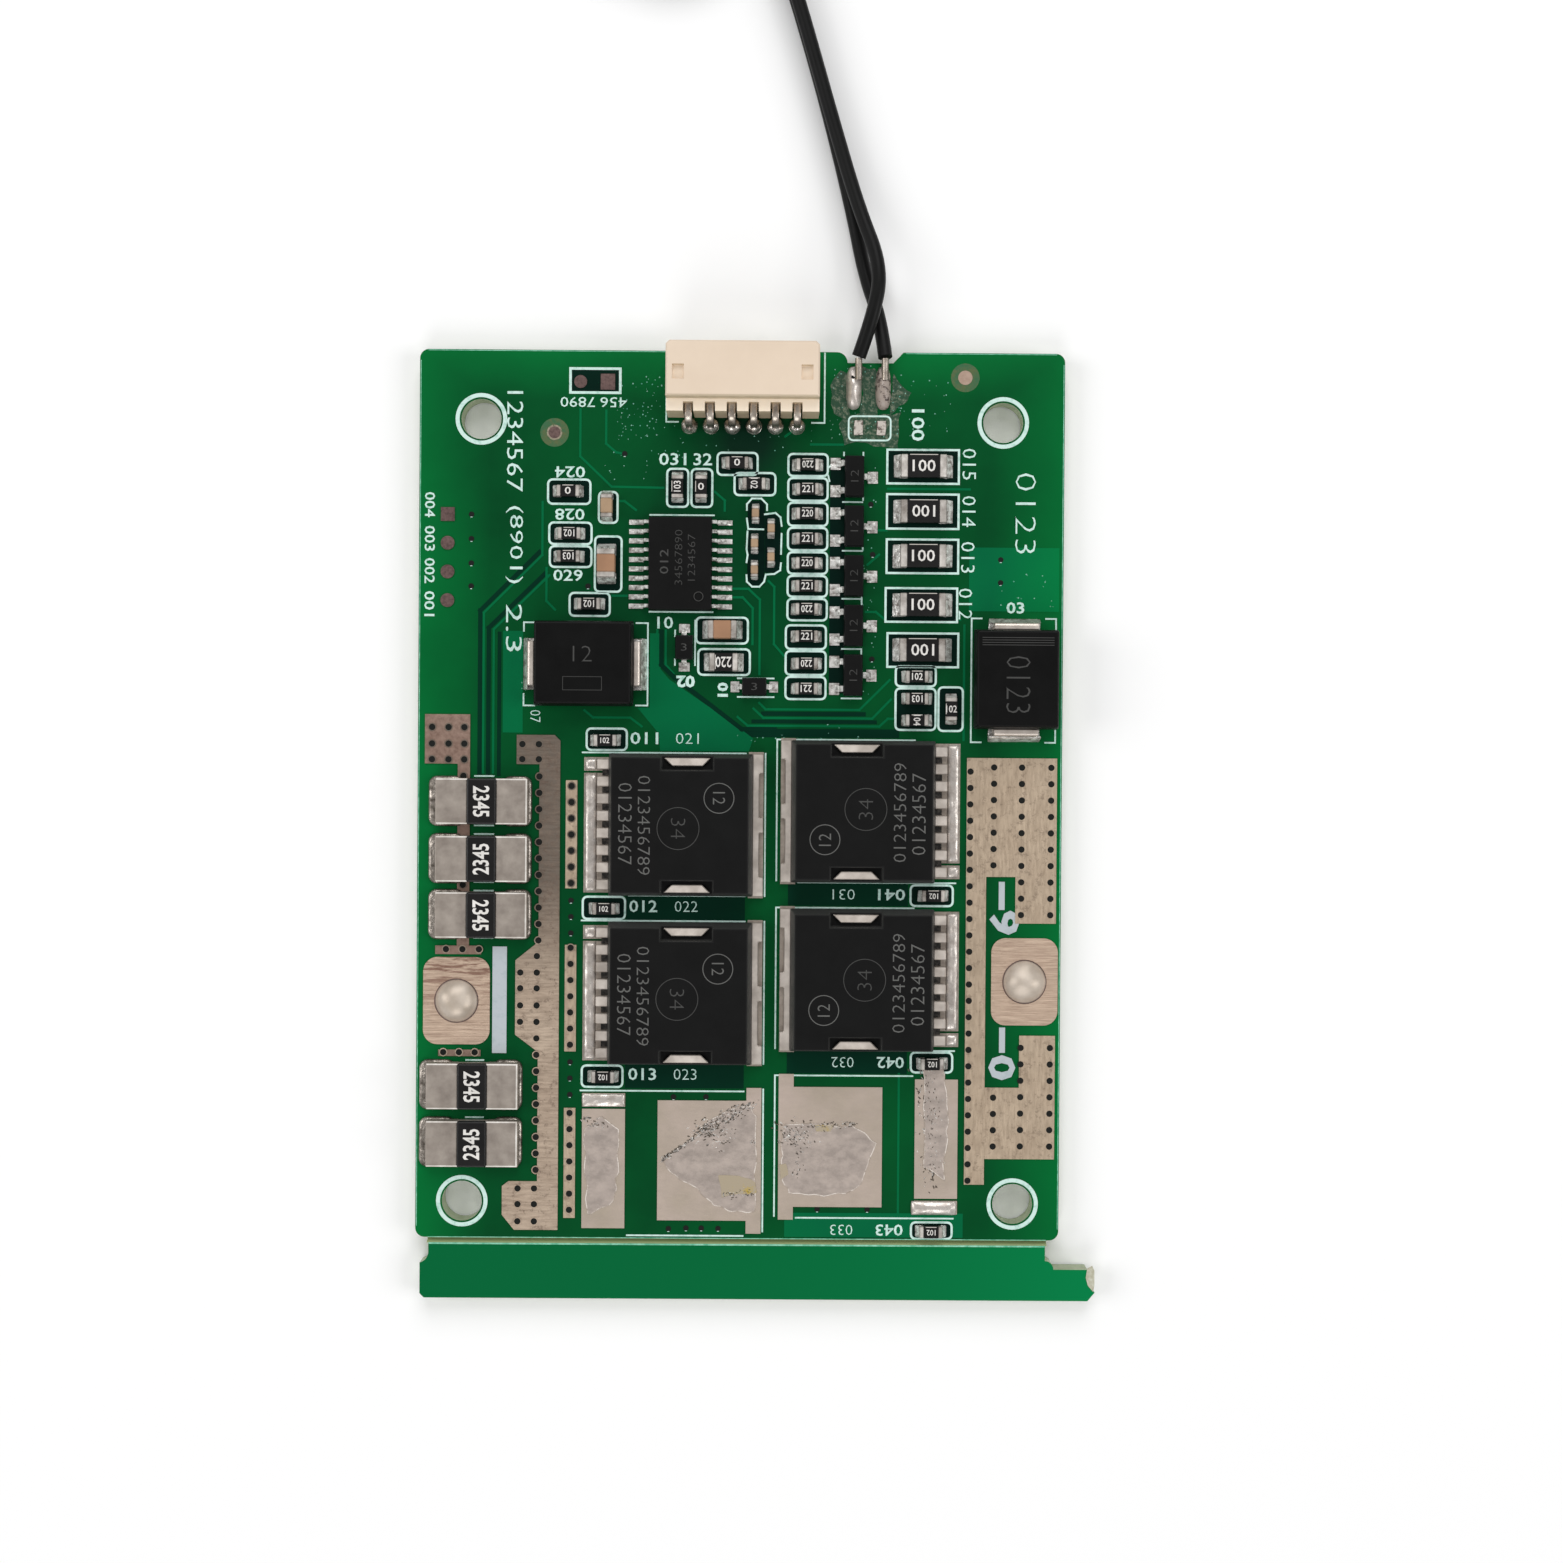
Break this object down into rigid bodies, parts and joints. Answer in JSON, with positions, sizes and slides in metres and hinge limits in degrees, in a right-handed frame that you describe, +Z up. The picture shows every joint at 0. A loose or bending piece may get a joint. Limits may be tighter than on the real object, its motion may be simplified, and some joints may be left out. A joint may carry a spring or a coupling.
{
  "type": "battery management board",
  "caption": "Flat green battery protection board with power transistors, shunts, a side-entry socket and two sensor leads.",
  "frame": {"origin": "centre of the 45 by 62 mm board (without its rail) at its underside", "axes": "+X across the board towards the power diode, +Y along the board towards the socket edge, +Z up out of the component side"},
  "size_m": [0.0476, 0.1056, 0.0054],
  "materials": {
    "green_board": "glossy green solder mask on glass fibre",
    "tinned_copper": "dull hot-tinned copper",
    "solder": "uneven solder with a soft shine",
    "cream_nylon": "plain moulded nylon",
    "tinned_metal": "tin-plated metal",
    "black_moulding": "fine-grained moulding resin",
    "shunt_metal": "tinned metal strip",
    "black_coat": "baked black coat",
    "brown_ceramic": "fired ceramic",
    "black_insulation": "soft insulation",
    "black_resin": "dipped resin",
    "tie_plastic": "plain strip"
  },
  "bodies": {
    "root": {"balance_resistor_bodies": "black_coat", "balance_resistor_caps": "tinned_metal", "bypass_transistor_bodies": "black_moulding", "bypass_transistor_leads": "tinned_metal", "charge_transistor_1_body": "black_moulding", "charge_transistor_1_leadframe": "tinned_metal", "charge_transistor_2_body": "black_moulding", "charge_transistor_2_leadframe": "tinned_metal", "chip_solder": "solder", "circuit_board": "green_board", "clamp_diode_bodies": "black_moulding", "clamp_diode_leads": "tinned_metal", "component_lands": "tinned_copper", "diode_solder": "solder", "discharge_transistor_1_body": "black_moulding", "discharge_transistor_1_leadframe": "tinned_metal", "discharge_transistor_2_body": "black_moulding", "discharge_transistor_2_leadframe": "tinned_metal", "gate_resistor_bodies": "black_coat", "gate_resistor_caps": "tinned_metal", "input_resistor_bodies": "black_coat", "input_resistor_caps": "tinned_metal", "left_bus_land": "tinned_copper", "logic_resistor_bodies": "black_coat", "logic_resistor_caps": "tinned_metal", "monitor_chip_body": "black_moulding", "monitor_chip_leads": "tinned_metal", "open_transistor_lands": "tinned_copper", "power_diode_body": "black_moulding", "power_diode_leads": "tinned_metal", "right_bus_land": "tinned_copper", "sense_lands": "tinned_copper", "sensor_bead": "black_resin", "sensor_coil": "black_insulation", "sensor_coil_tie": "tie_plastic", "sensor_lead_left": "black_insulation", "sensor_lead_right": "black_insulation", "sensor_lead_solder": "solder", "sensor_lead_strands": "tinned_metal", "shunt_coats": "black_coat", "shunt_solder": "solder", "shunt_strips": "shunt_metal", "signal_capacitor_bodies": "brown_ceramic", "signal_capacitor_caps": "tinned_metal", "socket_housing": "cream_nylon", "socket_pins": "tinned_metal", "socket_solder": "solder", "supply_capacitor_bodies": "brown_ceramic", "supply_capacitor_caps": "tinned_metal", "supply_resistor_bodies": "black_coat", "supply_resistor_caps": "tinned_metal", "suppressor_diode_body": "black_moulding", "suppressor_diode_leads": "tinned_metal", "terminal_lands": "tinned_copper", "terminal_solder": "solder", "test_lands": "tinned_copper", "transistor_lands": "tinned_copper", "via_strip_lands": "tinned_copper"}
  },
  "joints": []
}
